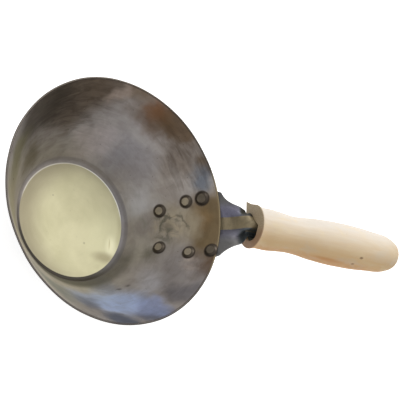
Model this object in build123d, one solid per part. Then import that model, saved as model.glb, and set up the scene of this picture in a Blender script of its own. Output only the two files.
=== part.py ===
"""Pouring ladle: a flat-bottomed conical bowl of sheet steel, a pressed bracket riveted to the
outside of its wall, and a turned wooden grip driven over the bracket's tang.

Millimetres. The origin is the middle of the base, +Z is up and +X points to the grip."""
from build123d import *
from math import asin, atan2, cos, degrees, radians, sin, tan
import os

# Bowl: one sheet, spun to a cone with a flat base
rim_radius = 100.0
bowl_height = 78.0
base_radius = 52.5        # where the outside lines of wall and base would meet
sheet = 1.5
base_corner = 5.0         # outside radius between base and wall
rim_round = 0.5

# Bracket: one pressed plate, a hat-shaped channel on the wall that closes to a tang
plate = 2.0
flange_half_width = 28.0  # near the rim
channel_half_width = 12.5
crown_half_width = 5.6
crown_depth = 5.5         # how far the channel stands off the wall
channel_offset = 2.2      # the channel runs this far to one side of the middle
bend_radius = 2.6         # to the middle of the plate
end_round = 6.0           # corners of the flanges below the rivets
wall_bite = 0.4           # the plate starts this deep and is trimmed back to the wall
trim_height = 14.0        # the flange keeps to the wall's line this far above the rim
tang_length = 46.0
tang_clearance = 0.25

# Grip: turned wood, bored from the front
grip_reach = 21.4         # level, from the rim to the middle of the grip's front
grip_rise = 14.0          # from the rim plane up to the same point
grip_tilt = 7.5           # degrees
grip_length = 158.0
flare_radius = 19.4
waist_radius = 16.2
belly_radius = 19.7
front_round = 0.8
bore_radius = 10.4
bore_end_radius = 8.4
bore_depth = 58.0
chip_height = 8.0         # from the grip's middle down to the split face
chip_side = 6.0           # from the grip's middle sideways to where the split starts
chip_depth = 9.0
chip_end_depth = 2.0

# Rivets: six, set by hand in two uneven rows
shank_radius = 2.5
hole_clearance = 0.1
head_radius = 5.2         # inside the bowl, hammered down
head_height = 1.9
head_face_radius = 3.7
tail_radius = 5.0         # on the bracket, domed
tail_height = 2.6
seat_bite = 0.6           # the heads start this deep and are trimmed to their seats
overrun = 1.0

# Name: share of the wall from base to rim, of the flange's half width, and of the head's size
rivet_shares = {
    "rivet_left_lower": (0.396, 0.58, 1.0),
    "rivet_left_middle": (0.672, 0.80, 1.0),
    "rivet_left_upper": (0.834, 0.86, 1.14),
    "rivet_right_lower": (0.412, -0.64, 1.0),
    "rivet_right_middle": (0.723, -0.87, 1.0),
    "rivet_right_upper": (0.938, -0.85, 1.06),
}

# Sections of the bracket on the wall. Share of the wall, then of crown half width, crown depth,
# channel half width, right flange, left flange and channel offset
wall_section_shares = (
    (0.27, 0.80, 0.80, 0.70, 0.86, 0.80, 0.00),
    (0.60, 0.90, 0.92, 0.84, 1.06, 1.00, 0.50),
    (0.88, 1.00, 1.00, 0.98, 1.07, 1.09, 0.95),
    (1.00, 1.00, 1.00, 1.00, 0.97, 1.00, 1.00),
)

# Sections of the neck. Share of the way to the grip, then six places across and up, from the
# right edge to the left edge, as shares of the channel's half width
neck_section_shares = (
    (0.22, (-1.76, -0.82, -0.27, 0.62, 1.18, 1.64), (0.06, -0.05, -0.46, -0.46, -0.03, 0.04)),
    (0.45, (-1.48, -0.84, -0.28, 0.60, 1.04, 1.40), (-0.04, -0.14, -0.33, -0.30, -0.10, -0.04)),
    (0.75, (-1.16, -0.40, -0.25, 0.62, 0.80, 1.22), (-0.34, -0.58, 0.26, 0.16, -0.34, -0.36)),
)

# The tang's six places across and up, as shares of the room in the bore
tang_across_shares = (-0.78, -0.22, -0.15, 0.90, 0.92, 0.80)
tang_up_shares = (-0.60, -0.92, 0.96, 0.04, -0.32, -0.59)

# The grip's outline: share of its length, then share of the way from waist to flare or belly
flare_shares = (0.12, 0.50)
swell_shares = (0.42, 0.72)
waist_share = 0.25
belly_share = 0.58
# The grip's end: shares of its length and of the belly's radius
end_shares = ((0.80, 0.94), (0.93, 0.81), (0.982, 0.60))


# The outer line of the wall, from the base to the rim, in the bowl's half section
wall = Line((base_radius, 0), (rim_radius, bowl_height))


def on_section(vector):
    """A vector of the half section, set upright in the X-Z plane."""
    return Vector(vector.X, 0, vector.Y)


def make_bowl():
    base = Line((0, 0), wall @ 0)
    top = Line(wall @ 1, (0, bowl_height))
    axis = Line((0, bowl_height), (0, 0))
    blank = Rot(0, 0, 180) * revolve(Plane.XZ * make_face([base, wall, top, axis]), Axis.Z)
    corner = blank.edges().filter_by(GeomType.CIRCLE).sort_by(Axis.Z)[0]
    blank = fillet(corner, base_corner)
    shell = offset(blank, amount=-sheet, openings=blank.faces().sort_by(Axis.Z)[-1])
    return fillet(shell.edges().group_by(Axis.Z)[-1], rim_round)


def inside_of_wall(depth):
    """All that lies this deep under the outer wall's line, carried on a little past the rim."""
    height = bowl_height + trim_height
    rise = wall % 1
    radius = base_radius - depth / rise.Y
    cone = Cone(radius, radius + height * rise.X / rise.Y, height)
    return Location((0, 0, height / 2), (0, 0, 180)) * cone


def station(origin, direction):
    """A plane across the bracket: X to the left of the bowl, Y into the bowl or up."""
    return Plane(origin=origin, x_dir=(0, 1, 0), z_dir=direction)


def bent_plate(plane, across, up, thickness):
    """A closed section of the plate through six points of its middle line, with round bends."""
    points = [Vector(x, y) for x, y in zip(across, up)]
    runs = [after - before for before, after in zip(points, points[1:])]
    headings = [atan2(run.Y, run.X) for run in runs]
    turns = [after - before for before, after in zip(headings, headings[1:])]
    spans = [runs[0].length, *[run.length / 2 for run in runs[1:-1]], runs[-1].length]
    sides = []
    for side in (thickness / 2, -thickness / 2):
        corners = [points[0] + Vector(-sin(headings[0]), cos(headings[0])) * side]
        radii = []
        rooms = map(min, spans, spans[1:])
        for point, heading, turn, room in zip(points[1:], headings, turns, rooms):
            middle = heading + turn / 2
            corners.append(point + Vector(-sin(middle), cos(middle)) * (side / cos(turn / 2)))
            radius = min(bend_radius, room / tan(abs(turn) / 2) - thickness / 2)
            radii.append(radius - side if turn > 0 else radius + side)
        corners.append(points[-1] + Vector(-sin(headings[-1]), cos(headings[-1])) * side)
        sides.append(FilletPolyline(*[(corner.X, corner.Y) for corner in corners], radius=radii))
    first, second = sides
    caps = [Line(first @ 0, second @ 0), Line(first @ 1, second @ 1)]
    return plane * make_face(first.edges() + second.edges() + caps)


def wall_section(share, crown, depth, channel, right, left, shift):
    """The hat-shaped section, square to the wall."""
    origin = on_section(wall @ share)
    rise = on_section(wall % share)
    curve = rise.Z / origin.X / 2
    middle = shift * channel_offset
    level = (wall_bite - plate) / 2
    edges = (-right * flange_half_width, left * flange_half_width)
    roots = (middle - channel * channel_half_width, middle + channel * channel_half_width)
    crowns = (middle - crown * crown_half_width, middle + crown * crown_half_width)
    across = (edges[0], roots[0], *crowns, roots[1], edges[1])
    crown_level = -depth * crown_depth
    up = [level + place ** 2 * curve for place in across]
    up[2:4] = [crown_level, crown_level]
    return bent_plate(station(origin, rise), across, up, plate + wall_bite)


grip_direction = Vector(cos(radians(grip_tilt)), 0, sin(radians(grip_tilt)))
grip_front = Vector(rim_radius + grip_reach, 0, bowl_height + grip_rise)
grip_plane = station(grip_front, grip_direction)


def neck_section(share, across, up):
    """A section between the rim and the grip, square to a smooth path from one to the other."""
    start = on_section(wall @ 1)
    handle = (grip_front - start).length / 3
    up_the_wall = start + on_section(wall % 1) * handle
    before_the_grip = grip_front - grip_direction * handle
    path = Bezier(start, up_the_wall, before_the_grip, grip_front)
    plane = station(path @ share, path % share)
    return bent_plate(
        plane,
        [place * channel_half_width for place in across],
        [place * channel_half_width for place in up],
        plate,
    )


def bore_at(depth):
    return bore_radius + (bore_end_radius - bore_radius) * depth / bore_depth


def tang_section(depth):
    """A section of the tang, as large as the bore lets it be at that depth."""
    room = bore_at(depth) - tang_clearance - plate / 2
    plane = station(grip_front + grip_direction * depth, grip_direction)
    return bent_plate(
        plane,
        [share * room for share in tang_across_shares],
        [share * room for share in tang_up_shares],
        plate,
    )


def rivet_plane(share, side):
    """Origin on the outer wall, Z pointing out of it."""
    origin = on_section(wall @ share)
    rise = on_section(wall % share)
    seat = Plane(origin=origin, x_dir=(0, 1, 0), z_dir=(rise.Z, 0, -rise.X))
    turn = degrees(asin(side * flange_half_width / origin.X))
    return Rot(0, 0, turn) * seat.location


def rivet_holes():
    radius = shank_radius + hole_clearance
    hole = Cylinder(radius, 2 * (sheet + plate + overrun))
    return [rivet_plane(share, side) * hole for share, side, _ in rivet_shares.values()]


def make_bracket():
    mouth = tang_section(0)
    channel = [wall_section(*row) for row in wall_section_shares]
    neck = [neck_section(*row) for row in neck_section_shares]
    on_wall = loft(channel)
    corners = on_wall.faces().sort_by(Axis.Z)[0].edges().sort_by(Axis.Y)
    on_wall = fillet([corners[0], corners[-1]], end_round)
    tang = loft([mouth, tang_section(tang_length)], ruled=True)
    pressing = on_wall + loft([channel[-1], *neck, mouth]) + tang
    return pressing - inside_of_wall(0)


def make_rivet(share, side, size, bracket_plate):
    """Flat-hammered head inside the bowl, shank, and domed head on the bracket."""
    place = rivet_plane(share, side)
    head = size * head_radius
    face = size * head_face_radius
    bottom = -sheet - size * head_height
    seat = seat_bite - sheet
    edge = bottom + head - face
    disc = Polyline((0, bottom), (face, bottom), (head, edge), (head, seat), (0, seat), close=True)
    foot = plate - seat_bite
    rim = Polyline((0, plate + tail_height), (0, foot), (tail_radius, foot))
    dome = TangentArc(rim @ 0, rim @ 1, tangent=(1, 0))
    flat_head = revolve(Plane.XZ * make_face(disc.edges()), Axis.Z)
    domed_head = revolve(Plane.XZ * make_face([*rim.edges(), dome]), Axis.Z)
    flat_head = place * flat_head & inside_of_wall(sheet)
    domed_head = place * domed_head - bracket_plate
    ends = (plate + tail_height / 2, -sheet - head_height / 2)
    shank = Cylinder(shank_radius, ends[0] - ends[1])
    return place * Pos(0, 0, (ends[0] + ends[1]) / 2) * shank + flat_head + domed_head


def make_grip():
    def between(share, low, high):
        return low + share * (high - low)

    points = [
        (flare_radius, 0),
        (between(flare_shares[1], waist_radius, flare_radius), flare_shares[0] * grip_length),
        (waist_radius, waist_share * grip_length),
        (between(swell_shares[1], waist_radius, belly_radius), swell_shares[0] * grip_length),
        (belly_radius, belly_share * grip_length),
        *[(radius * belly_radius, along * grip_length) for along, radius in end_shares],
        (0, grip_length),
    ]
    outline = Spline(points, tangents=((-flare_radius / 2, grip_length / 8), (-1, 0)))
    front = Line((0, 0), outline @ 0)
    axis = Line((0, grip_length), (0, 0))
    turned = revolve(Plane.XZ * make_face([outline, front, axis]), Axis.Z)
    turned = fillet(turned.edges().sort_by(Axis.Z)[0], front_round)
    bore = Pos(0, 0, bore_depth / 2) * Cone(bore_radius, bore_end_radius, bore_depth)
    chip = make_face(Polyline(
        (-chip_height, -overrun), (-chip_height, chip_depth),
        (-flare_radius - overrun, chip_end_depth), (-flare_radius - overrun, -overrun), close=True,
    ).edges())
    split = extrude(Plane.YZ.offset(chip_side) * chip, flare_radius)
    return grip_plane.location * (turned - bore - split)


bowl = make_bowl()
bracket = make_bracket()
nodes = {"bowl": bowl, "handle_bracket": bracket, "wooden_grip": make_grip()}
for name, shares in rivet_shares.items():
    nodes[name] = make_rivet(*shares, bracket)
for hole in rivet_holes():
    nodes["bowl"] -= hole
    nodes["handle_bracket"] -= hole

os.makedirs("parts", exist_ok=True)
for name, solid in nodes.items():
    export_step(solid, f"parts/{name}.step")
    print(name, round(solid.volume))
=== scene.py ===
import math

import bmesh
import bpy
from mathutils import Matrix, Vector
from mathutils.geometry import interpolate_bezier


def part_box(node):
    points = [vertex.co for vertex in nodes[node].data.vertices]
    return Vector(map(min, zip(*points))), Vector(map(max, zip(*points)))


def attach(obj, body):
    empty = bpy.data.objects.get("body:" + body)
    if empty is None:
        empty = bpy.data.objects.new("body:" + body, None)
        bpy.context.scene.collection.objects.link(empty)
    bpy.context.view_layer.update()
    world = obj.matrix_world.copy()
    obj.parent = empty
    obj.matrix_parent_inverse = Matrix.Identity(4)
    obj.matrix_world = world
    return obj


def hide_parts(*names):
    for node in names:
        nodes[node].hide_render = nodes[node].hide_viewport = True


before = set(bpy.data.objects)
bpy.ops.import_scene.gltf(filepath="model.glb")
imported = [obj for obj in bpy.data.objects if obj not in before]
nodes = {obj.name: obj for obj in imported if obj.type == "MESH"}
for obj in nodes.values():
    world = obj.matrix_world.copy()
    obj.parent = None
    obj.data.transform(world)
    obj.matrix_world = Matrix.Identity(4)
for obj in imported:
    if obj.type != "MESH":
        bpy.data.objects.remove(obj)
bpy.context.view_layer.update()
mm = 0.001  # every size below is in millimetres


def tone(red, green, blue):  # a paint chart's 0 to 255, made linear
    def flat(value):
        value /= 255
        return value / 12.92 if value <= 0.04045 else ((value + 0.055) / 1.055) ** 2.4
    return (flat(red), flat(green), flat(blue), 1)


# Node helpers

def feed(tree, node, inputs):  # inputs that are sockets are linked, all others are set
    for key, value in inputs.items():
        if isinstance(value, bpy.types.NodeSocket):
            tree.links.new(value, node.inputs[key])
        else:
            node.inputs[key].default_value = value


def add(tree, kind, inputs=None, **settings):
    made = tree.nodes.new(kind)
    for name, value in settings.items():
        setattr(made, name, value)
    feed(tree, made, inputs or {})
    return made


def sums(tree, operation, *values):
    return add(tree, "ShaderNodeMath", dict(enumerate(values)), operation=operation).outputs[0]


def product(tree, first, *others):
    for other in others:
        first = sums(tree, "MULTIPLY", first, other)
    return first


def vectorSums(tree, operation, *values):
    made = add(tree, "ShaderNodeVectorMath", dict(enumerate(values)), operation=operation)
    return made.outputs["Value" if operation in ("LENGTH", "DISTANCE", "DOT_PRODUCT") else "Vector"]


def scaled(tree, vector, share):
    made = add(tree, "ShaderNodeVectorMath", {0: vector, "Scale": share}, operation="SCALE")
    return made.outputs["Vector"]


def stretched(tree, vector, shares):
    return vectorSums(tree, "MULTIPLY", vector, shares)


def lengthOf(tree, vector):
    return vectorSums(tree, "LENGTH", vector)


def combined(tree, x=0.0, y=0.0, z=0.0):
    return add(tree, "ShaderNodeCombineXYZ", {0: x, 1: y, 2: z}).outputs[0]


def separated(tree, vector):
    return add(tree, "ShaderNodeSeparateXYZ", {0: vector}).outputs


def spread(tree, value, low, high, toLow=0.0, toHigh=1.0):
    made = add(tree, "ShaderNodeMapRange", {0: value, 1: low, 2: high, 3: toLow, 4: toHigh})
    made.interpolation_type = "SMOOTHSTEP"
    return made.outputs[0]


def within(tree, value, limits, toLow=0.0, toHigh=1.0):  # spread between limits in millimetres
    return spread(tree, value, limits[0] * mm, limits[1] * mm, toLow, toHigh)


def noise(tree, place, scale, detail=3.0, rough=0.55, warp=0.0, output=0):
    inputs = {"Vector": place, "Scale": scale, "Detail": detail, "Roughness": rough, "Distortion": warp}
    return add(tree, "ShaderNodeTexNoise", inputs).outputs[output]


def blend(tree, amount, first, second, mode="MIX"):
    mix = add(tree, "ShaderNodeMix", {0: amount, 6: first, 7: second}, data_type="RGBA", blend_type=mode)
    return mix.outputs[2]


def patch(tree, place, centre, inner, outer):  # 1 inside the inner distance, 0 beyond the outer one
    away = vectorSums(tree, "DISTANCE", place, [value * mm for value in centre])
    return within(tree, away, (inner, outer), 1.0, 0.0)


def band(tree, value, low, high, fade):  # 1 from low to high, 0 a fade further out
    rising = spread(tree, value, low - fade, low)
    return product(tree, rising, spread(tree, value, high, high + fade, 1.0, 0.0))


def ring(tree, value, limits, fade):  # the same, in millimetres
    return band(tree, value, limits[0] * mm, limits[1] * mm, fade * mm)


def laid(tree, colour, mask, strength, paint):  # a paint laid over a colour where the mask is
    return blend(tree, product(tree, mask, strength), colour, tone(*paint))


def objectPlace(tree):
    return add(tree, "ShaderNodeTexCoord").outputs["Object"]


def newMaterial(name):
    material = bpy.data.materials.new(name)
    material.use_nodes = True
    tree = material.node_tree
    tree.nodes.clear()
    shader = add(tree, "ShaderNodeBsdfPrincipled")
    out = add(tree, "ShaderNodeOutputMaterial", {0: shader.outputs[0]})
    return material, tree, shader, out


def finishShader(tree, shader, colour, rough, height, metal, bumpStrength, bumpDistance):
    bump = add(tree, "ShaderNodeBump",
               {"Height": height, "Strength": bumpStrength, "Distance": bumpDistance * mm}).outputs[0]
    feed(tree, shader, {"Base Color": colour, "Roughness": rough, "Metallic": metal, "Normal": bump})


# Geometry helpers

def roundedLine(corners, rounds, arcSteps=8, lineSteps=8):
    corners = [Vector(corner) for corner in corners]
    stops = [[corners[0]]]
    for before, at, after, rounding in zip(corners, corners[1:], corners[2:], rounds):
        toBefore, toAfter = (before - at).normalized(), (after - at).normalized()
        half = toBefore.angle(toAfter) / 2
        reach = rounding / math.tan(half)
        centre = at + (toBefore + toAfter).normalized() * (rounding / math.sin(half))
        start, end = at + toBefore * reach - centre, at + toAfter * reach - centre
        swing = start.angle(end)
        shares = [step / arcSteps for step in range(arcSteps + 1)]
        stops.append([centre + (start * math.sin((1 - share) * swing) + end * math.sin(share * swing))
                      / math.sin(swing) for share in shares])
    stops.append([corners[-1]])
    points = []
    for arc, following in zip(stops, stops[1:]):
        run = following[0] - arc[-1]
        steps = [0.5] if run.length < 4 else [0.02, *[step / lineSteps for step in range(1, lineSteps)], 0.98]
        points += [*arc, *[arc[-1] + run * share for share in steps]]
    return points + stops[-1]


def smoothLine(points, firstWay, lastWay, steps=14):  # a smooth line through the points
    points = [Vector(point) for point in points]
    ways = [Vector(firstWay).normalized()]
    for before, at, after in zip(points, points[1:], points[2:]):
        near, far = (at - before).length, (after - at).length
        ways.append(((at - before) / near * far + (after - at) / far * near).normalized())
    ways.append(Vector(lastWay).normalized())
    line = []
    for start, end, startWay, endWay in zip(points, points[1:], ways, ways[1:]):
        third = (end - start).length / 3
        knots = [start, start + startWay * third, end - endWay * third, end]
        line += interpolate_bezier(*[knot.to_3d() for knot in knots], steps)[:-1]
    return [point.to_2d() for point in line] + [points[-1]]


def placedObject(name, mesh):
    made = bpy.data.objects.new(name, mesh)
    bpy.context.scene.collection.objects.link(made)
    return made


def meshObject(name, points, edges=(), faces=()):
    mesh = bpy.data.meshes.new(name)
    mesh.from_pydata(points, edges, faces)
    return placedObject(name, mesh)


def profileObject(name, points):  # a half section, X out from the axis and Z along it
    edges = [(step, step + 1) for step in range(len(points) - 1)]
    return meshObject(name, [(point[0] * mm, 0, point[1] * mm) for point in points], edges)


def newTree(name, inputs, output):
    tree = bpy.data.node_groups.new(name, "GeometryNodeTree")
    for label, kind in inputs.items():
        tree.interface.new_socket(label, in_out="INPUT", socket_type="NodeSocket" + kind)
    tree.interface.new_socket(output, in_out="OUTPUT", socket_type="NodeSocketGeometry")
    return tree, add(tree, "NodeGroupInput").outputs


def moved(tree, form, offset):
    return add(tree, "GeometryNodeSetPosition", {"Geometry": form, "Offset": offset}).outputs[0]


def lumps(tree, place, perMetre, seed):
    inputs = {"Vector": place, "W": seed, "Scale": perMetre, "Detail": 1.0}
    return add(tree, "ShaderNodeTexNoise", inputs, noise_dimensions="4D").outputs[0]


def endTree(tree, form, finish):
    real = add(tree, "GeometryNodeRealizeInstances", {0: form}).outputs[0]
    finished = add(tree, "GeometryNodeSetMaterial", {"Geometry": real, "Material": finish})
    add(tree, "NodeGroupOutput", {0: finished.outputs[0]})
    return tree


def makeTurnedTree():
    # Turns a half section round Z. Dents pull both faces of a wall in together, and they fade out
    # towards +X where the calm side is 1.
    inputs = {"Profile": "Geometry", "Sides": "Int", "Dents": "Float", "Dents per metre": "Float",
              "Calm side": "Float", "Seed": "Float", "Finish": "Material"}
    tree, given = newTree("turnedForm", inputs, "Form")
    size = add(tree, "GeometryNodeAttributeDomainSize", {0: given["Profile"]}, component="MESH")
    count = size.outputs["Point Count"]
    columns = sums(tree, "ADD", given["Sides"], 1)
    grid = add(tree, "GeometryNodeMeshGrid", {0: 1.0, 1: 1.0, 2: columns, 3: count}).outputs[0]
    place = add(tree, "GeometryNodeInputPosition").outputs[0]
    across = separated(tree, place)
    turn = product(tree, sums(tree, "ADD", across[0], 0.5), math.tau)
    last = sums(tree, "SUBTRACT", count, 1)
    row = sums(tree, "ROUND", product(tree, sums(tree, "ADD", across[1], 0.5), last))
    sample = add(tree, "GeometryNodeSampleIndex", {0: given["Profile"], 1: place, 2: row},
                 data_type="FLOAT_VECTOR", domain="POINT")
    part = separated(tree, sample.outputs[0])
    x = product(tree, part[0], sums(tree, "COSINE", turn))
    y = product(tree, part[0], sums(tree, "SINE", turn))
    put = combined(tree, x, y, part[2])
    turned = add(tree, "GeometryNodeSetPosition", {"Geometry": grid, "Position": put}).outputs[0]
    closed = add(tree, "GeometryNodeMergeByDistance", {"Geometry": turned, "Distance": 1e-6}).outputs[0]
    outward = vectorSums(tree, "NORMALIZE", stretched(tree, place, (1, 1, 0)))
    calm = product(tree, given["Calm side"], spread(tree, separated(tree, outward)[0], 0.8, 0.93))
    dents = spread(tree, lumps(tree, place, given["Dents per metre"], given["Seed"]), 0.3, 0.7)
    depth = product(tree, dents, given["Dents"], sums(tree, "SUBTRACT", calm, 1.0))
    dented = moved(tree, closed, scaled(tree, outward, depth))
    smooth = add(tree, "GeometryNodeSetShadeSmooth", {"Geometry": dented}).outputs[0]
    return endTree(tree, smooth, given["Finish"])


def growOn(source, tree, values):  # the tree as a modifier, its inputs set by their identifiers
    modifier = source.modifiers.new(tree.name, "NODES")
    modifier.node_group = tree
    sockets = {item.name: item.identifier for item in tree.interface.items_tree if item.in_out == "INPUT"}
    for name, value in values.items():
        modifier[sockets[name]] = value


def madePlain(source, name, place=None, crease=None):
    # The evaluated object as a plain mesh of its own, faces outwards, in its place
    ready = source.evaluated_get(bpy.context.evaluated_depsgraph_get())
    mesh = bpy.data.meshes.new_from_object(ready)
    mesh.name = name
    bpy.data.objects.remove(source)
    shape = bmesh.new()
    shape.from_mesh(mesh)
    bmesh.ops.recalc_face_normals(shape, faces=shape.faces)
    if place is not None:
        shape.transform(place)
    if crease is not None:
        sharpen(shape, crease)
    shape.to_mesh(mesh)
    shape.free()
    return placedObject(name, mesh)


def sharpen(shape, angle):
    for edge in shape.edges:
        edge.smooth = len(edge.link_faces) == 2 and edge.calc_face_angle(0) < math.radians(angle)
    for face in shape.faces:
        face.smooth = True


def settle(piece, slot, *replaced):
    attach(piece, "root")
    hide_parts(*replaced)


turnedTree = makeTurnedTree()


def turnOn(source, form, calmSide, finish):
    growOn(source, turnedTree, {"Sides": form["sides"], "Dents": form["dents"] * mm,
                                "Dents per metre": form["dentsPerMetre"], "Calm side": calmSide,
                                "Seed": form["seed"], "Finish": finish})


# Bowl: one sheet, spun to a cone

bowl = {
    "rim": 100.0, "height": 78.0, "foot": 52.5, "sheet": 1.5, "corner": 5.0, "rimRound": 0.5,
    "sides": 256, "dents": 0.35, "dentsPerMetre": 24.0, "seed": 3.0,
    "grey": ((160, 151, 141), (192, 188, 187)),     # bare steel, dull and clean
    "outside": ((92, 84, 76), (146, 139, 131)),     # it has stood over fires
    "blotch": (184, 176, 172), "tintWobble": 40,
    "stroke": (120, 110, 102), "strokeDepth": (0.10, 0.34),
    "deepStrokes": (((-44, 78, 56), 15, 65), ((74, 56, 64), 10, 40)),
    # The rubbed base, then the corner round it: how far out and how high they lie, and colours, painted light
    # and shade among them
    "baseEdge": (49.0, 49.6), "floorLevels": (1.1, 2.4), "scouredAndReflecting": ((211, 206, 168), (224, 219, 182)),
    "litBase": ((16.5, -2, 1.5), 38, 64), "baseShadeBand": (164, 154, 128),
    "edgeShade": (182, 175, 134), "dust": (164, 156, 120),
    "cornerRing": (49.6, 53.5), "cornerLevels": (1.2, 8.5),
    "cornerPaints": ((136, 129, 121), (118, 115, 122)),
    "darkRing": (49.5, 53.2), "darkLine": (52, 46, 36), "shadeRing": (50.0, 57.5), "shade": (82, 80, 76),
    "highlightRing": (48.8, 49.4), "highlightLine": (255, 253, 244),
    "rimLevels": (77.0, 77.7), "edge": (62, 56, 50), "edgeByHandle": (122, 109, 84),  # lighter by the handle
}

# What fire and food have left on the wall, and painted light and shade: middle, full and fading reach, colour
# and strength
wallTintsAndLight = {
    # painted shade: darker patches that keep the back and left wall dark
    "shadedBack": ((-44, 82, 62), 16, 48, (112, 98, 81), 0.85),
    "shadedRim": ((-68, 58, 68), 18, 42, (88, 80, 68), 0.9),
    "shadedLeftSide": ((-57, 34, 24), 5, 22, (100, 90, 66), 0.7),
    "shadedFarBack": ((-14, 96, 74), 12, 36, (108, 94, 79), 0.85),
    "rubbedBack": ((-3, 92, 67), 3, 14, (196, 180, 168), 0.7),
    "smokedShoulder": ((26, 88, 66), 4, 26, (120, 104, 88), 0.6),
    "brownUnderCopper": ((38, 81, 64), 4, 20, (122, 102, 86), 0.7),
    "brownRim": ((52, 80, 76), 12, 30, (94, 73, 49), 0.9),
    "brownFarRim": ((80, 54, 77), 4, 18, (94, 76, 54), 0.8),
    "copperBloom": ((31, 89, 71), 2, 18, (122, 84, 52), 0.8),
    "duskyShoulder": ((62, 57, 57), 4, 24, (122, 110, 99), 0.8),
    # painted light: grey and pale reflections of the light above, on the wall round the base
    "greyReflectionOverBase": ((38, 54, 28), 8, 32, (156, 153, 156), 0.7),
    "reflectionOverBase": ((4, 66, 25), 6, 28, (210, 201, 198), 0.7),
    "blueOverRivets": ((82, 42, 66), 3, 18, (106, 116, 130), 0.8),
    # painted light: pale reflections of the light above, round the base
    "reflectionByBase": ((54, 24, 18), 6, 26, (206, 208, 214), 0.7),
    "reflectionUnderBase": ((60, -20, 20), 4, 22, (196, 192, 178), 0.6),
    "strawByHandle": ((93, 2, 72), 16, 40, (114, 94, 58), 0.9),
    "goldByHandle": ((88, 10, 64), 1, 12, (140, 112, 74), 0.5),
    "dullByRivets": ((78, 0, 46), 8, 27, (180, 169, 147), 0.7),
    "paleByRivets": ((67, -6, 32), 2, 11, (182, 172, 156), 0.5),
    "greenLeftOfRivets": ((64, 4, 22), 1, 9, (134, 144, 126), 0.7),
    "greenUnderRivets": ((66, -24, 32), 2, 13, (118, 116, 98), 0.6),
    "brownUnderHandle": ((91, -36, 77), 8, 22, (98, 72, 44), 0.9),
    # painted highlight below the rivets by the handle
    "highlightUnderHandle": ((83, -33, 62), 3, 10, (226, 210, 196), 0.85),
    "greySide": ((74, -46, 60), 8, 30, (146, 141, 140), 0.6),
    # painted light: a pale reflection low on the near wall
    "reflectionOnShoulder": ((57, -52, 42), 5, 22, (204, 206, 214), 0.6),
    "duskyUnderBase": ((26, -57, 19), 4, 20, (138, 144, 164), 0.7),
    # painted light: blue reflections low on the near wall
    "blueReflection": ((24, -77, 50), 10, 38, (198, 217, 255), 0.95),
    "blueFarReflection": ((-6, -76, 44), 6, 28, (160, 174, 210), 0.75),
    "dimFrontRim": ((10, -100, 79), 8, 23, (92, 101, 122), 0.85),
    "dimFarFrontRim": ((46, -88, 77), 6, 20, (112, 120, 142), 0.8),
    "oliveSide": ((-78, -16, 48), 12, 40, (158, 150, 124), 0.8),
    "paleSide": ((-74, -46, 62), 6, 26, (196, 186, 172), 0.85),
    "greenSide": ((-80, 22, 52), 6, 26, (122, 118, 74), 0.7),
    "khakiSide": ((-36, -73, 50), 6, 28, (116, 121, 124), 0.85),
    "brownBackRim": ((10, 98, 77), 4, 19, (116, 96, 70), 0.7),
    # painted light: a blue reflection on the near side
    "blueSideReflection": ((46, -78, 63), 6, 22, (168, 182, 222), 0.8),
    "duskyFarBloom": ((-8, -83, 54), 4, 20, (112, 118, 138), 0.75),
    "duskySide": ((71, -62, 70), 6, 19, (110, 108, 114), 0.7),
}


def wallLine():  # how far the wall leans out for each step up, and the sheet's width on the level
    slope = (bowl["rim"] - bowl["foot"]) / bowl["height"]
    return slope, bowl["sheet"] * math.hypot(1, slope)


def bowlProfile():
    slope, inset = wallLine()
    insideRim = (bowl["rim"] - inset, bowl["height"])
    insideFoot = (bowl["foot"] - inset + bowl["sheet"] * slope, bowl["sheet"])
    outsideRim, outsideFoot = (bowl["rim"], bowl["height"]), (bowl["foot"], 0)
    corners = [(0, bowl["sheet"]), insideFoot, insideRim, outsideRim, outsideFoot, (0, 0)]
    small = bowl["corner"] - bowl["sheet"]
    return roundedLine(corners, [small, bowl["rimRound"], bowl["rimRound"], bowl["corner"]])


# Rivets: hammered flat inside the bowl, domed on the bracket

rivets = {
    "head": 5.2, "headFace": 3.7, "headHeight": 1.9, "headRound": 0.7, "skirt": 0.6,
    "dome": 5.0, "domeHeight": 2.6, "shank": 2.5, "plate": 2.0, "sides": 48,
    "hammered": 0.10, "hammerMarksPerMetre": 420.0, "seed": 11.0,
    "headShares": {"rivet_left_upper": 1.14, "rivet_right_upper": 1.06},  # the others are 1
    "worn": ((158, 147, 126), (134, 126, 114)), "outside": (112, 105, 97), "dark": (60, 52, 44),
    "darkShares": (0.76, 1.3, 0.14), "byRim": (60, 66), "crease": 50,
}


def rivetSeats():
    # Each rivet's axis stands square on the wall, so its middle falls back to its seat there
    rise = Vector((bowl["rim"] - bowl["foot"], bowl["height"])).normalized()
    seats = []
    for name in sorted(node for node in nodes if node.startswith("rivet_")):
        low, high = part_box(name)
        middle = (Vector(low) + Vector(high)) / 2 / mm
        turn = math.atan2(middle.y, middle.x)
        fromFoot = Vector((math.hypot(middle.x, middle.y) - bowl["foot"], middle.z))
        at = Vector((bowl["foot"], 0)) + rise * fromFoot.dot(rise)
        seat = Vector((at.x * math.cos(turn), at.x * math.sin(turn), at.y)) * mm
        outward = Vector((rise.y * math.cos(turn), rise.y * math.sin(turn), -rise.x))
        seats.append((seat, outward, rivets["headShares"].get(name, 1.0), name))
    return seats


def insideWall(tree, place):  # 1 on the wall's inner face, 0 on its outer one
    slope, inset = wallLine()
    radius = lengthOf(tree, stretched(tree, place, (1, 1, 0)))
    level = sums(tree, "SUBTRACT", radius, product(tree, separated(tree, place)[2], slope))
    return within(tree, level, (bowl["foot"] - 0.45 * inset, bowl["foot"] - 0.7 * inset))


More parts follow.
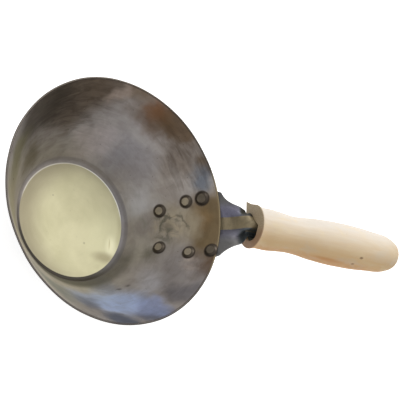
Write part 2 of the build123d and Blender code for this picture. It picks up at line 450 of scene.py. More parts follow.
def wallColour(tree, place, strokes):
    wobble = vectorSums(tree, "SUBTRACT", noise(tree, place, 28.0, 4.0, output=1), (0.5, 0.5, 0.5))
    loose = vectorSums(tree, "ADD", place, scaled(tree, wobble, bowl["tintWobble"] * mm))
    dull, clean = bowl["grey"]
    smoked, rubbed = bowl["outside"]
    cloudy = noise(tree, place, 20.0, 5.0, 0.6)
    colour = blend(tree, cloudy, tone(*dull), tone(*clean))
    outside = blend(tree, spread(tree, cloudy, 0.3, 0.65), tone(*smoked), tone(*rubbed))
    for centre, inner, outer, paint, strength in wallTintsAndLight.values():
        colour = laid(tree, colour, patch(tree, loose, centre, inner, outer), strength, paint)
    colour = blend(tree, insideWall(tree, place), outside, colour)
    blotches = spread(tree, noise(tree, place, 75.0, 4.0, 0.6, 0.8), 0.35, 0.7, 0.0, 0.32)
    colour = blend(tree, blotches, colour, tone(*bowl["blotch"]), "MULTIPLY")
    # Buffing strokes, deepest in the painted shade of the back wall and by the handle
    deepest = sums(tree, "MAXIMUM", *[patch(tree, place, *reach) for reach in bowl["deepStrokes"]])
    depth = sums(tree, "ADD", bowl["strokeDepth"][0], product(tree, deepest, bowl["strokeDepth"][1]))
    amount = product(tree, spread(tree, strokes, 0.36, 0.66), depth)
    return blend(tree, amount, colour, tone(*bowl["stroke"]), "MULTIPLY")


# Marks on the wall, with their places and colours
marks = {
    "drop": (76.8, 0.2, 41.8), "dropRise": 13.5, "dropAcross": 10.8,  # dried between the rivets
    "dropEdge": (80, 76, 64), "dropInside": (96, 90, 76),
    "nearDrop": ((73, 1, 37), 9, 21), "stained": (104, 104, 92), "rubbed": (198, 184, 158),
    "scuffs": ((17.2, -59.5, 28.6), (20.6, -55.0, 30.0)), "scuff": (64, 62, 66),
    "nicked": (-77.8, 4.9, 17.8), "nick": (52, 46, 38), "speck": (56, 50, 46),
}


def wallMarks(tree, place, colour):
    # The drop's outline is an oval in the wall's own plane, made uneven
    upWall = Vector((bowl["rim"] - bowl["foot"], 0, bowl["height"])).normalized()
    off = vectorSums(tree, "SUBTRACT", place, [value * mm for value in marks["drop"]])
    rise = sums(tree, "DIVIDE", vectorSums(tree, "DOT_PRODUCT", off, upWall), marks["dropRise"] * mm)
    across = sums(tree, "DIVIDE", separated(tree, off)[1], marks["dropAcross"] * mm)
    wobble = product(tree, sums(tree, "SUBTRACT", noise(tree, place, 110.0, 4.0), 0.5), 1.3)
    away = sums(tree, "ADD", lengthOf(tree, combined(tree, rise, across)), wobble)
    outline = sums(tree, "ABSOLUTE", sums(tree, "SUBTRACT", away, 1.0))
    outline = product(tree, spread(tree, outline, 0.03, 0.17, 1.0, 0.0), spread(tree, across, -0.6, 0.2))
    colour = laid(tree, colour, outline, 0.55, marks["dropEdge"])
    dried = product(tree, spread(tree, away, 0.5, 1.0, 1.0, 0.0), spread(tree, rise, 0.5, -0.6, 0.0, 0.45))
    colour = laid(tree, colour, dried, 1.0, marks["dropInside"])
    # Round it the steel is stained in places and rubbed in others
    nearDrop = patch(tree, place, *marks["nearDrop"])
    uneven = noise(tree, place, 95.0, 4.0, 0.55, 0.7)
    stained = product(tree, nearDrop, spread(tree, uneven, 0.50, 0.62))
    colour = laid(tree, colour, stained, 0.6, marks["stained"])
    rubbed = product(tree, nearDrop, spread(tree, uneven, 0.50, 0.38))
    colour = laid(tree, colour, rubbed, 0.5, marks["rubbed"])
    # Two scuffs below the base, a short dark nick and specks
    broken = spread(tree, noise(tree, place, 260.0, 3.0), 0.3, 0.6, 0.2, 0.7)
    for scuff in marks["scuffs"]:
        scuffed = patch(tree, stretched(tree, place, (0.5, 1, 1)), scuff, 0.2, 2.6)
        colour = laid(tree, colour, scuffed, broken, marks["scuff"])
    nick = patch(tree, stretched(tree, place, (1, 1, 0.4)), marks["nicked"], 0.3, 1.2)
    colour = laid(tree, colour, nick, 1.0, marks["nick"])
    specks = spread(tree, noise(tree, place, 520.0, 1.0), 0.74, 0.78)
    return laid(tree, colour, specks, 0.45, marks["speck"])


# Marks on the rubbed base, painted light among them: stretch, middle, full and fading reach, colour and
# strength
baseMarks = {
    # painted light: a lit patch, and the flare, a painted highlight
    "lit": ((1, 1, 1), (36, -8, 1.5), 6, 34, (234, 231, 192), 0.6),
    "flare": ((1, 0.6, 1), (40, -9.5, 1.5), 1, 8, (255, 252, 218), 0.9),
    # painted reflections of the wall, dark and yellow
    "wallReflection": ((0.42, 1, 1), (14.2, -27, 1.5), 1, 7, (160, 148, 114), 0.6),
    "streak": ((1, 0.16, 1), (38.2, -2.3, 1.5), 0.2, 1.1, (186, 170, 100), 0.45),
    "fleck": ((1, 1, 1), (13.2, -18.2, 1.5), 0.2, 1.5, (132, 122, 90), 0.45),
    "smallFleck": ((1, 1, 1), (-20.1, 16.9, 1.5), 0.2, 1.1, (132, 122, 90), 0.45),
}


def baseColour(tree, place, radius):
    # The base's pale colour is scoured steel with a painted reflection of the bright light above
    first, second = bowl["scouredAndReflecting"]
    cloudy = noise(tree, place, 32.0, 4.0, 0.55)
    colour = blend(tree, spread(tree, cloudy, 0.3, 0.7), tone(*first), tone(*second))
    # Painted shade: darker in a band along its left and far edges
    shaded = patch(tree, place, *bowl["litBase"])
    colour = laid(tree, colour, sums(tree, "SUBTRACT", 1.0, shaded), 0.85, bowl["baseShadeBand"])
    # Painted shade in a strip by its right edge
    shadeByEdge = product(tree, within(tree, radius, (43, 48)), patch(tree, place, (48, -4, 1.5), 8, 22))
    colour = laid(tree, colour, shadeByEdge, 0.6, bowl["edgeShade"])
    for stretch, centre, inner, outer, paint, strength in baseMarks.values():
        mark = patch(tree, stretched(tree, place, stretch), centre, inner, outer)
        colour = laid(tree, colour, mark, strength, paint)
    dust = spread(tree, noise(tree, place, 380.0, 1.0), 0.70, 0.78)
    return laid(tree, colour, dust, 0.12, bowl["dust"])


def bowlMaterial():
    material, tree, shader, _ = newMaterial("heatTintedSteelAndPaintedLight")
    place = objectPlace(tree)
    height = separated(tree, place)[2]
    level = stretched(tree, place, (1, 1, 0))
    radius = lengthOf(tree, level)
    around = vectorSums(tree, "NORMALIZE", level)
    x, y, _ = separated(tree, around)
    along = sums(tree, "ADD", radius, height)

    def roundMarks(turns, runs, *settings):  # noise drawn out round the wall
        upwards = combined(tree, z=product(tree, along, runs))
        drawnOut = vectorSums(tree, "ADD", scaled(tree, around, turns), upwards)
        return noise(tree, drawnOut, *settings)

    # Buffing strokes and finer spinning marks run round the wall
    strokes = roundMarks(1.1, 42.0, 3.6, 4.0, 0.6, 0.9)
    spun = roundMarks(0.35, 75.0, 6.0, 4.0, 0.65)
    colour = wallMarks(tree, place, wallColour(tree, place, strokes))
    # The pale corner round the base
    corner = product(tree, ring(tree, radius, bowl["cornerRing"], 0.8),
                     ring(tree, height, bowl["cornerLevels"], 2))
    left, right = bowl["cornerPaints"]
    paint = blend(tree, spread(tree, x, 0.4, 0.9), tone(*left), tone(*right))
    colour = blend(tree, product(tree, corner, 0.5), colour, paint)
    # Painted shade: a dark line round its lower side, weaker at the right, and a broader shade above it
    lowSide = spread(tree, sums(tree, "ADD", y, product(tree, x, 0.6)), 0.0, -0.45)
    upWall = sums(tree, "ADD", height, product(tree, y, 6 * mm))
    darkLine = product(tree, ring(tree, radius, bowl["darkRing"], 0.6), lowSide,
                       within(tree, upWall, (1.4, 3.6), 1.0, 0.0), spread(tree, y, 0.2, -0.7, 0.5, 0.95),
                       spread(tree, x, 0.35, 0.75, 1.0, 0.35))
    shade = product(tree, ring(tree, radius, bowl["shadeRing"], 6), spread(tree, y, -0.2, -0.5),
                    spread(tree, x, 0.1, 0.9, 0.95, 0.6))
    colour = laid(tree, colour, shade, 1.0, bowl["shade"])
    colour = laid(tree, colour, darkLine, 1.0, bowl["darkLine"])
    # The rubbed base, with a painted highlight along its far edge
    floorFace = ring(tree, height, bowl["floorLevels"], 0.4)
    baseMask = product(tree, floorFace, within(tree, radius, bowl["baseEdge"], 1.0, 0.0))
    colour = blend(tree, baseMask, colour, baseColour(tree, place, radius))
    highlightLine = product(tree, ring(tree, radius, bowl["highlightRing"], 0.4), floorFace,
                         spread(tree, y, 0.08, 0.4), spread(tree, x, -0.1, 0.5, 0.45, 1.0))
    colour = laid(tree, colour, highlightLine, 1.0, bowl["highlightLine"])
    # The rim's edge, and dirt and painted shade round the rivets' heads
    edge = blend(tree, spread(tree, x, 0.86, 0.98), tone(*bowl["edge"]), tone(*bowl["edgeByHandle"]))
    colour = blend(tree, within(tree, height, bowl["rimLevels"], 0.0, 0.85), colour, edge)
    for seat, outward, size, _ in rivetSeats():
        away = vectorSums(tree, "DISTANCE", place, seat - outward * bowl["sheet"] * mm)
        head = size * rivets["head"]
        dirtAndShade = within(tree, away, (head + 0.3, head + 1.5), 0.85, 0.0)
        colour = laid(tree, colour, dirtAndShade, 1.0, rivets["dark"])
    plain = sums(tree, "MAXIMUM", baseMask, corner)
    rough = sums(tree, "ADD", spread(tree, spun, 0.3, 0.7, 0.42, 0.50), product(tree, plain, 0.2))
    relief = sums(tree, "ADD", product(tree, spun, 0.6), product(tree, strokes, 0.6))
    relief = product(tree, relief, spread(tree, baseMask, 0.0, 1.0, 1.0, 0.15))
    metal = spread(tree, plain, 0.0, 1.0, 0.8, 0.35)
    finishShader(tree, shader, colour, rough, relief, metal, 0.08, 0.6)
    return material


def makeBowl():
    source = profileObject("bowlProfile", bowlProfile())
    turnOn(source, bowl, 1.0, bowlMaterial())
    settle(madePlain(source, "spunBowl"), "bowl_steel", "bowl")


makeBowl()
print("bowl made")


# Bracket: the pressed plate itself comes from the frame

bracket = {
    "strapMiddle": 2.2, "strapHalf": 5.4, "strap": (149, 136, 108),  # the crown, to one side of the middle
    # the webs' lavender is a painted reflection of blue light; the upper web is lighter than the lower
    "web": ((128, 127, 146), (104, 103, 115)), "webTurn": (-4, 8),
    "flange": (102, 101, 100), "flangeFrom": (9, 19), "blotch": (150, 148, 146),
    # painted shade in the hollow by the wood
    "hollow": (84, 92, 94), "hollowFrom": (109.5, 115.5),
    "corner": (44, 40, 30), "cornerFrom": ((111, 115), (6, 8.2)),  # painted shade in the corner by the wood
    "neckWide": 1.8, "neckFrom": (115.5, 120.0), "neckTo": (121.6, 122.6), "neckSide": (6.5, 10.0),
    "crease": 34,
}


def bracketMaterial():
    material, tree, shader, _ = newMaterial("pressedSteel")
    place = objectPlace(tree)
    x, y, _ = separated(tree, place)
    mottled = noise(tree, place, 95.0, 5.0, 0.65)
    sideways = sums(tree, "ABSOLUTE", sums(tree, "SUBTRACT", y, bracket["strapMiddle"] * mm))
    upper, lower = bracket["web"]
    web = blend(tree, within(tree, y, bracket["webTurn"]), tone(*lower), tone(*upper))
    colour = blend(tree, within(tree, sideways, bracket["flangeFrom"]), web, tone(*bracket["flange"]))
    half = bracket["strapHalf"]
    strap = within(tree, sideways, (half - 0.4, half + 0.6), 1.0, 0.0)
    colour = laid(tree, colour, strap, 1.0, bracket["strap"])
    blotches = spread(tree, mottled, 0.35, 0.7, 0.0, 0.5)
    colour = blend(tree, blotches, colour, tone(*bracket["blotch"]), "MULTIPLY")
    # The crown faces up out of the bowl; painted shade darkens the tang's sides and the hollow beside it
    facing = separated(tree, add(tree, "ShaderNodeNewGeometry").outputs["Normal"])[2]
    crown = product(tree, strap, spread(tree, facing, -0.05, 0.25))
    offCrown = spread(tree, crown, 0.2, 0.6, 1.0, 0.0)
    hollowShade = product(tree, within(tree, x, bracket["hollowFrom"]), offCrown)
    colour = laid(tree, colour, hollowShade, 0.9, bracket["hollow"])
    # Painted shade in the corner by the wood
    alongX, alongY = bracket["cornerFrom"]
    corner = product(tree, within(tree, x, alongX), within(tree, y, alongY), offCrown)
    colour = laid(tree, colour, corner, 0.9, bracket["corner"])
    rough = spread(tree, noise(tree, place, 210.0, 4.0), 0.3, 0.7, 0.52, 0.64)
    finishShader(tree, shader, colour, rough, mottled, 0.5, 0.12, 0.5)
    return material


def widenNeck(shape):  # the flange's left edge runs right up to the wood
    def eased(value, low, high):
        share = min(max((value - low) / (high - low), 0), 1)
        return share * share * (3 - 2 * share)

    for corner in shape.verts:
        x, y = corner.co.x / mm, corner.co.y / mm
        share = eased(x, *bracket["neckFrom"]) * (1 - eased(x, *bracket["neckTo"]))
        corner.co.y += share * eased(y, *bracket["neckSide"]) * bracket["neckWide"] * mm


def makeBracket():  # a merged copy with smooth bends and crisp edges
    mesh = nodes["handle_bracket"].data.copy()
    mesh.name = "pressedBracket"
    shape = bmesh.new()
    shape.from_mesh(mesh)
    bmesh.ops.remove_doubles(shape, verts=shape.verts, dist=1e-6)
    widenNeck(shape)
    sharpen(shape, bracket["crease"])
    shape.to_mesh(mesh)
    shape.free()
    if "custom_normal" in mesh.attributes:
        mesh.attributes.remove(mesh.attributes["custom_normal"])
    mesh.materials.clear()
    mesh.materials.append(bracketMaterial())
    settle(placedObject("pressedBracket", mesh), "bracket_steel", "handle_bracket")


makeBracket()
print("bracket made")


# Rivets: both ends turned, set on the wall and hammered

def headProfile():  # from the middle of the face out and down into the wall
    face, head, height = rivets["headFace"], rivets["head"], rivets["headHeight"]
    corners = [(0, height), (face, height), (head, height - (head - face)), (head, -rivets["skirt"]),
               (0, -rivets["skirt"])]
    return roundedLine(corners, [rivets["headRound"], rivets["headRound"], 0.1], arcSteps=6)


def domeProfile():  # the shank runs down through the wall
    dome, height, plate = rivets["dome"], rivets["domeHeight"], rivets["plate"]
    radius = (dome ** 2 + height ** 2) / (2 * height)
    reach = math.asin(dome / radius)
    arc = [(radius * math.sin(reach * step / 12), plate + height - radius * (1 - math.cos(reach * step / 12)))
           for step in range(13)]
    return [*arc, (dome, plate - 0.4), (rivets["shank"], plate - 0.4), (rivets["shank"], -bowl["sheet"]),
            (0, -bowl["sheet"])]


def rivetTree():
    inputs = {"Seats": "Geometry", "Head profile": "Object", "Dome profile": "Object", "Sides": "Int",
              "Sheet": "Float", "Hammered": "Float", "Marks per metre": "Float", "Seed": "Float",
              "Finish": "Material"}
    tree, given = newTree("handSetRivets", inputs, "Rivets")

    def attribute(name, kind):
        made = add(tree, "GeometryNodeInputNamedAttribute", {0: name}, data_type=kind)
        return next(socket for socket in made.outputs if socket.enabled)

    def turnedForm(profile):
        form = add(tree, "GeometryNodeObjectInfo", {0: given[profile]}).outputs["Geometry"]
        inputs = {"Profile": form, "Sides": given["Sides"], "Finish": given["Finish"]}
        return add(tree, "GeometryNodeGroup", inputs, node_tree=turnedTree).outputs[0]

    def instanced(points, form, way, size):
        turn = add(tree, "FunctionNodeAlignRotationToVector", {"Vector": way}, axis="Z").outputs[0]
        inputs = {"Points": points, "Instance": form, "Rotation": turn, "Scale": size}
        return add(tree, "GeometryNodeInstanceOnPoints", inputs).outputs[0]

    outward = attribute("outward", "FLOAT_VECTOR")
    inward = scaled(tree, outward, -1.0)
    local = add(tree, "GeometryNodeInputPosition").outputs[0]
    fromAxis = lengthOf(tree, stretched(tree, local, (1, 1, 0)))
    share = sums(tree, "DIVIDE", fromAxis, rivets["head"] * mm)
    head = add(tree, "GeometryNodeStoreNamedAttribute",
               {"Geometry": turnedForm("Head profile"), "Name": "headShare"}, data_type="FLOAT")
    tree.links.new(share, next(socket for socket in head.inputs if socket.enabled and socket.name == "Value"))
    sunk = scaled(tree, inward, given["Sheet"])
    size = attribute("headSize", "FLOAT")
    seats = moved(tree, given["Seats"], sunk)
    heads = instanced(seats, head.outputs[0], inward, combined(tree, size, size, size))
    domes = instanced(given["Seats"], turnedForm("Dome profile"), outward, combined(tree, 1.0, 1.0, 1.0))
    joined = add(tree, "GeometryNodeJoinGeometry")
    for form in (heads, domes):
        tree.links.new(form, joined.inputs[0])
    real = add(tree, "GeometryNodeRealizeInstances", {0: joined.outputs[0]}).outputs[0]
    hammered = spread(tree, lumps(tree, local, given["Marks per metre"], given["Seed"]), 0.25, 0.75)
    normal = add(tree, "GeometryNodeInputNormal").outputs[0]
    dent = scaled(tree, normal, product(tree, hammered, given["Hammered"], -1.0))
    return endTree(tree, moved(tree, real, dent), given["Finish"])


def rivetMaterial():
    material, tree, shader, _ = newMaterial("hammeredSteel")
    place = objectPlace(tree)
    share = add(tree, "ShaderNodeAttribute", attribute_name="headShare").outputs["Fac"]
    mottled = noise(tree, place, 260.0, 4.0, 0.6)
    worn, spotted = rivets["worn"]
    colour = blend(tree, spread(tree, mottled, 0.3, 0.7, 0.0, 0.45), tone(*worn), tone(*spotted))
    # A dark ring round each head's bevelled edge: dirt and painted shade
    uneven = sums(tree, "ADD", share, product(tree, mottled, 0.12))
    colour = laid(tree, colour, band(tree, uneven, *rivets["darkShares"]), 0.92, rivets["dark"])
    colour = blend(tree, insideWall(tree, place), tone(*rivets["outside"]), colour)
    # Those near the rim have stayed dark all over
    byRim = within(tree, separated(tree, place)[2], rivets["byRim"])
    colour = laid(tree, colour, byRim, 0.75, rivets["dark"])
    rough = spread(tree, mottled, 0.3, 0.7, 0.44, 0.6)
    finishShader(tree, shader, colour, rough, mottled, 0.7, 0.15, 0.3)
    return material


def makeRivets():
    seats = rivetSeats()
    source = meshObject("rivetSeats", [seat for seat, *_ in seats])
    source.data.attributes.new("outward", "FLOAT_VECTOR", "POINT").data.foreach_set(
        "vector", [value for _, outward, *_ in seats for value in outward])
    source.data.attributes.new("headSize", "FLOAT", "POINT").data.foreach_set(
        "value", [size for _, _, size, _ in seats])
    head = profileObject("rivetHeadProfile", headProfile())
    dome = profileObject("rivetDomeProfile", domeProfile())
    growOn(source, rivetTree(), {"Head profile": head, "Dome profile": dome, "Sides": rivets["sides"],
                                 "Sheet": bowl["sheet"] * mm, "Hammered": rivets["hammered"] * mm,
                                 "Marks per metre": rivets["hammerMarksPerMetre"],
                                 "Seed": rivets["seed"], "Finish": rivetMaterial()})
    made = madePlain(source, "handSetRivets", crease=rivets["crease"])
    settle(made, "rivet_steel", *[name for *_, name in seats])
    for profile in (head, dome):
        bpy.data.objects.remove(profile)


makeRivets()
print("rivets made")


# Grip: turned wood, bored and split at its front

grip = {
    "reach": 21.4, "rise": 14.0, "tilt": 7.5, "length": 158.0,
    "flare": 19.4, "waist": 16.2, "belly": 19.7, "frontRound": 0.8,
    "bore": 10.4, "boreEnd": 8.4, "boreDepth": 58.0, "boreRound": 0.4,
    "splitFrom": 6.0, "splitDown": 8.0, "splitDeep": 9.0, "splitShallow": 2.0,
    "sides": 160, "dents": 0.18, "dentsPerMetre": 38.0, "seed": 5.0, "crease": 40,
    # the last is the way towards the side lightened by painted light
    "pale": (227, 211, 187), "warm": (217, 194, 160), "lightWay": (0.93, 0.367, 0),
    "endGrain": (194, 176, 146), "stain": (164, 143, 114), "lowerShade": (172, 130, 98),
    "boreWalls": ((230, 208, 172), (104, 102, 92)),
    # The splinter beside the split: its height, and degrees round the front
    "splitLift": 7.8, "liftDeep": 7.5, "liftFrom": 21.0, "liftTo": -18.6,
    "liftCurve": 3.0, "backCurve": 1.6, "belowSplit": (0.12, 0.4),
    "crownWay": (0.658, 0.753, 0), "crown": 6.85, "worn": 2.0,  # where the bracket's crown lies in the bore
}


def gripProfile():
    def between(share, high):
        return grip["waist"] + share * (high - grip["waist"])

    length, belly = grip["length"], grip["belly"]
    outline = [(grip["flare"], 0), (between(0.50, grip["flare"]), 0.12 * length),
               (grip["waist"], 0.25 * length), (between(0.70, belly), 0.42 * length),
               (belly - 0.05, 0.58 * length), (0.93 * belly, 0.80 * length),
               (0.80 * belly, 0.93 * length), (0.60 * belly, 0.98 * length), (0, length - 0.1)]
    side = smoothLine(outline, (-0.44, 1), (-1, 0))
    start = next(point for point in side if point[1] > 3)
    corners = [(0, grip["boreDepth"]), (grip["boreEnd"], grip["boreDepth"]), (grip["bore"], 0),
               (grip["flare"], 0), start]
    front = roundedLine(corners, [grip["boreRound"], grip["boreRound"], grip["frontRound"]])
    return front + [point for point in side if point[1] > start[1]]


def splinterTree():
    # Beside the split the front's edge stands up, highest at the split face and fading back
    inputs = {"Form": "Geometry", "Lift": "Float", "Deep": "Float", "From": "Float", "To": "Float",
              "Bore radius": "Float", "Inner radius": "Float", "Outer radius": "Float",
              "Crown way": "Vector", "Crown": "Float", "Worn": "Float", "Finish": "Material"}
    tree, given = newTree("splitFront", inputs, "Shaped")
    place = add(tree, "GeometryNodeInputPosition").outputs[0]
    x, y, z = separated(tree, place)
    level = stretched(tree, place, (1, 1, 0))
    radius = lengthOf(tree, level)
    outward = vectorSums(tree, "NORMALIZE", level)

    def straight(value, low, high, toLow, toHigh):
        return add(tree, "ShaderNodeMapRange", {0: value, 1: low, 2: high, 3: toLow, 4: toHigh}).outputs[0]

    turn = sums(tree, "ARCTAN2", y, x)
    share = straight(turn, given["From"], given["To"], 0.0, 1.0)
    below = spread(tree, sums(tree, "SUBTRACT", given["To"], turn), *grip["belowSplit"], 1.0, 0.0)
    back = straight(z, 0.0, given["Deep"], 1.0, 0.0)
    rise = product(tree, given["Lift"], below, sums(tree, "POWER", share, grip["liftCurve"]),
                   sums(tree, "POWER", back, grip["backCurve"]),
                   spread(tree, radius, given["Inner radius"], given["Outer radius"]))
    offset = scaled(tree, outward, rise)
    lifted = moved(tree, given["Form"], offset)
    # The bore's mouth lies flat on the bracket's crown
    reach = vectorSums(tree, "DOT_PRODUCT", level, given["Crown way"])
    further = spread(tree, z, given["Deep"], product(tree, given["Deep"], 2.0), 0.0, given["Bore radius"])
    excess = sums(tree, "SUBTRACT", reach, sums(tree, "ADD", given["Crown"], further))
    inBore = sums(tree, "LESS_THAN", radius, sums(tree, "ADD", given["Bore radius"], 0.25 * mm))
    excess = product(tree, sums(tree, "MAXIMUM", excess, 0.0), inBore, -1.0)
    flat = scaled(tree, given["Crown way"], excess)
    # and is worn wider on the side away from the split
    away = spread(tree, separated(tree, outward)[0], -0.55, -0.95)
    lip = sums(tree, "ADD", given["Bore radius"], 0.4 * mm)
    worn = product(tree, away, spread(tree, radius, lip, given["Outer radius"], 1.0, 0.0),
                   given["Worn"], spread(tree, z, 0.0, given["Deep"], 1.0, 0.0))
    wider = scaled(tree, outward, worn)
    return endTree(tree, moved(tree, lifted, vectorSums(tree, "ADD", flat, wider)), given["Finish"])


def splitWedge():
    # What the split took: from the flat split face down, deeper at the split than at the outside
    side, outside = grip["splitDown"], grip["flare"] + 1
    far = outside + grip["splitLift"]
    section = [(-side, -1), (-side, grip["splitDeep"]), (-outside, grip["splitShallow"]),
               (-far, grip["splitShallow"]), (-far, -1)]
    ends = (grip["splitFrom"], grip["splitFrom"] + far)
    points = [(x * mm, y * mm, z * mm) for x in ends for y, z in section]
    walls = [(step, (step + 1) % 5, (step + 1) % 5 + 5, step + 5) for step in range(5)]
    return meshObject("splitWedge", points, faces=[(4, 3, 2, 1, 0), (5, 6, 7, 8, 9), *walls])


def gripPlace():  # X to the left of the bowl, Y up, Z along the grip
    tilt = math.radians(grip["tilt"])
    along = Vector((math.cos(tilt), 0, math.sin(tilt)))
    across = Vector((0, 1, 0))
    turn = Matrix([across, along.cross(across), along]).transposed().to_4x4()
    front = Vector((bowl["rim"] + grip["reach"], 0, bowl["height"] + grip["rise"])) * mm
    return Matrix.Translation(front) @ turn


# Washes over the wood: what they follow, from where to where, strength and colour. Painted light
# lightens its upper side and painted shade darkens and warms its lower side, and it is darker towards the
# end.
washes = (
    ("rings", 0.42, 0.66, 0.3, (222, 198, 164)),
    # painted light on the upper side
    ("worn", 3 * mm, 18 * mm, 0.75, (222, 216, 209)),
    # painted shade, warmer and darker, on the lower side
    ("worn", 8 * mm, -12 * mm, 0.75, (228, 188, 128)),
    ("worn", -10 * mm, -19.5 * mm, 0.8, (204, 142, 78)),
    ("along", 130 * mm, 158 * mm, 0.4, (190, 164, 124)),
    ("cloudy", 0.5, 0.72, 0.4, (232, 212, 172)),
    ("cloudy", 0.48, 0.3, 0.25, (214, 206, 192)),
)
# Knots, nicks and flecks in the wood: middle, reach and colour, and an orange streak
flecks = (
    ((-12.8, 14.2, 108), 1.7, (122, 88, 58)), ((-17.7, 7.9, 103), 1.5, (140, 96, 56)),
    ((15.7, 7.7, 23), 1.2, (156, 134, 98)), ((16.4, 7.3, 58), 1.1, (150, 128, 92)),
    ((-3.0, 16.0, 61), 0.8, (190, 160, 120)), ((4.5, 18.6, 88), 0.7, (186, 156, 118)),
)
orangeStreak = ((-18.2, 6.4, 76), 0.8, 3.6, (206, 146, 82))


def woodMaterial():
    material, tree, shader, _ = newMaterial("paleTurnedWood")
    # The grip's own axes: the pattern is laid along them
    back = gripPlace().inverted()
    inputs = {0: objectPlace(tree), 1: back.to_translation(), 2: back.to_euler()}
    place = add(tree, "ShaderNodeMapping", inputs, vector_type="POINT").outputs[0]
    x, y, z = separated(tree, place)
    fromAxis = lengthOf(tree, stretched(tree, place, (1, 1, 0)))
    streaks = noise(tree, stretched(tree, place, (1, 1, 0.07)), 330.0, 5.0, 0.62, 0.5)
    rings = noise(tree, stretched(tree, place, (1, 0.35, 0.05)), 120.0, 3.0, 0.5, 1.2)
    broad = noise(tree, stretched(tree, place, (1, 1, 0.35)), 40.0, 3.0)
    cloudy = noise(tree, stretched(tree, place, (1, 1, 0.5)), 95.0, 4.0, 0.6, 0.6)
    pale, warm = tone(*grip["pale"]), tone(*grip["warm"])
    colour = blend(tree, spread(tree, streaks, 0.3, 0.72, 0.0, 0.55), pale, warm)
    # How far round towards the lit side: the painted light and shade follow it
    worn = vectorSums(tree, "DOT_PRODUCT", place, grip["lightWay"])
    worn = sums(tree, "ADD", worn, product(tree, sums(tree, "SUBTRACT", broad, 0.5), 8 * mm))
    fields = {"rings": rings, "worn": worn, "along": z, "cloudy": cloudy}
    for field, low, high, strength, paint in washes:
        colour = laid(tree, colour, spread(tree, fields[field], low, high), strength, paint)
    for (left, up, along), reach, paint in flecks:
        spot = patch(tree, stretched(tree, place, (1, 1, 0.6)), (left, up, along * 0.6), reach * 0.25, reach)
        colour = laid(tree, colour, spot, 0.85, paint)
    (left, up, along), inner, outer, paint = orangeStreak
    streak = patch(tree, stretched(tree, place, (1, 1, 0.16)), (left, up, along * 0.16), inner, outer)
    colour = laid(tree, colour, streak, 0.8, paint)
    # The front's end grain, darker, with pores, and red-brown with painted shade on its lower part
    deep, start, down, flare = grip["splitDeep"], grip["splitFrom"], grip["splitDown"], grip["flare"]
    front = within(tree, z, (0.2, 0.9), 1.0, 0.0)
    split = product(tree, within(tree, z, (deep - 0.2, deep + 0.4), 1.0, 0.0),
                    within(tree, x, (start - 0.1, start + 0.2)), within(tree, y, (0.2 - down, -0.2 - down)),
                    within(tree, fromAxis, (flare - 0.3, flare - 0.8)))
    pores = spread(tree, noise(tree, place, 900.0, 2.0, 0.6), 0.4, 0.62)
    grain = laid(tree, tone(*grip["endGrain"]), pores, 0.6, grip["stain"])
    grain = laid(tree, grain, within(tree, x, (0, -12)), 0.75, grip["lowerShade"])
    colour = blend(tree, sums(tree, "MAXIMUM", front, split), colour, grain)
    # The bore: pale wood, darkened with painted shade on the side that is seen
    bore, end = grip["bore"], grip["boreDepth"]
    inBore = product(tree, within(tree, fromAxis, (bore + 3.2, bore + 2.6)), within(tree, z, (0.6, 2.2)),
                     within(tree, z, (end + 2, end + 1)), sums(tree, "SUBTRACT", 1.0, split))
    clean, shadedWall = grip["boreWalls"]
    shadedSide = within(tree, sums(tree, "ADD", x, y), (5, -4))
    colour = blend(tree, inBore, colour, laid(tree, tone(*clean), shadedSide, 1.0, shadedWall))
    rough = spread(tree, streaks, 0.3, 0.7, 0.52, 0.66)
    lathe = noise(tree, stretched(tree, place, (0.02, 0.02, 1)), 900.0, 2.0)
    relief = sums(tree, "ADD", streaks, product(tree, lathe, 0.4))
    finishShader(tree, shader, colour, rough, relief, 0.0, 0.2, 0.4)
    return material


def makeGrip():
    source = profileObject("gripProfile", gripProfile())
    wood = woodMaterial()
    turnOn(source, grip, 0.0, wood)
    growOn(source, splinterTree(), {
        "Lift": grip["splitLift"] * mm, "Deep": grip["liftDeep"] * mm,
        "From": math.radians(grip["liftFrom"]), "To": math.radians(grip["liftTo"]),
        "Bore radius": grip["bore"] * mm, "Inner radius": (grip["bore"] + 2) * mm,
        "Outer radius": grip["flare"] * mm, "Crown way": grip["crownWay"],
        "Crown": grip["crown"] * mm, "Worn": grip["worn"] * mm, "Finish": wood})
    wedge = splitWedge()
    split = source.modifiers.new("split", "BOOLEAN")
    split.object, split.operation, split.solver = wedge, "DIFFERENCE", "EXACT"
    settle(madePlain(source, "turnedGrip", gripPlace(), grip["crease"]), "grip_wood", "wooden_grip")
    bpy.data.objects.remove(wedge)


makeGrip()
print("grip made")


# Camera, floor and light

view = {
    "place": (-356.94, -226.88, 642.66),
    "right": (0.7858, 0.0332, 0.6176), "up": (-0.2246, 0.9457, 0.2350), "back": (-0.5762, -0.3234, 0.7506),
    "lens": 81.0, "sensor": 36.0,
}
light = {
    "world": 0.55, "floor": 0.86, "floorGlow": 0.75,
    "lampPlace": (0.5, 1.0, 1.1), "lampTarget": (0.05, 0, 0.05), "lampSize": 0.9,
    "lampPower": 14.0, "lampTint": (1.0, 0.99, 0.97),
}


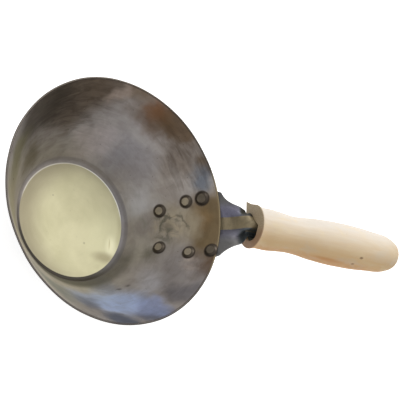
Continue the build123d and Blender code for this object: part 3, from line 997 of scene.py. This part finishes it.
def makeCamera():
    lens = bpy.data.cameras.new("camera")
    lens.lens, lens.sensor_width = view["lens"], view["sensor"]
    lens.clip_start, lens.clip_end = 0.05, 20
    camera = placedObject("camera", lens)
    turn = Matrix([view["right"], view["up"], view["back"]]).transposed().to_4x4()
    camera.matrix_world = Matrix.Translation(Vector(view["place"]) * mm) @ turn
    bpy.context.scene.camera = camera


def seenDirectly(tree):  # by the camera, or in metal and glass
    path = add(tree, "ShaderNodeLightPath").outputs
    mirrored = sums(tree, "MAXIMUM", path["Is Glossy Ray"], path["Is Transmission Ray"])
    return sums(tree, "MAXIMUM", path["Is Camera Ray"], mirrored)


def makeFloor():
    corners = [(-6, -6, 0), (6, -6, 0), (6, 6, 0), (-6, 6, 0)]
    floor = meshObject("floor", corners, faces=[(0, 1, 2, 3)])
    floor.location.z = -0.0004
    material, tree, shader, out = newMaterial("paleFloor")
    feed(tree, shader, {"Base Color": (*[light["floor"]] * 3, 1), "Roughness": 0.9})
    strength = product(tree, seenDirectly(tree), light["floorGlow"])
    glow = add(tree, "ShaderNodeEmission", {0: (1, 1, 1, 1), 1: strength})
    both = add(tree, "ShaderNodeAddShader", {0: shader.outputs[0], 1: glow.outputs[0]})
    tree.links.new(both.outputs[0], out.inputs[0])
    floor.data.materials.append(material)


def makeWorld():
    world = bpy.data.worlds.new("studio")
    bpy.context.scene.world = world
    world.use_nodes = True
    tree = world.node_tree
    tree.nodes.clear()
    strength = product(tree, seenDirectly(tree), 1.0 - light["world"])
    strength = sums(tree, "ADD", strength, light["world"])
    back = add(tree, "ShaderNodeBackground", {0: (1, 1, 1, 1), 1: strength})
    add(tree, "ShaderNodeOutputWorld", {0: back.outputs[0]})


def makeLamp():
    lamp = bpy.data.lights.new("windowLight", "AREA")
    lamp.shape, lamp.size = "DISK", light["lampSize"]
    lamp.energy, lamp.color = light["lampPower"], light["lampTint"]
    made = placedObject("windowLight", lamp)
    made.location = light["lampPlace"]
    made.rotation_mode = "QUATERNION"
    aim = Vector(light["lampTarget"]) - Vector(light["lampPlace"])
    made.rotation_quaternion = aim.to_track_quat("-Z", "Y")


makeCamera()
makeFloor()
makeWorld()
makeLamp()
bpy.context.scene.view_settings.view_transform = "Standard"
print("stage set")
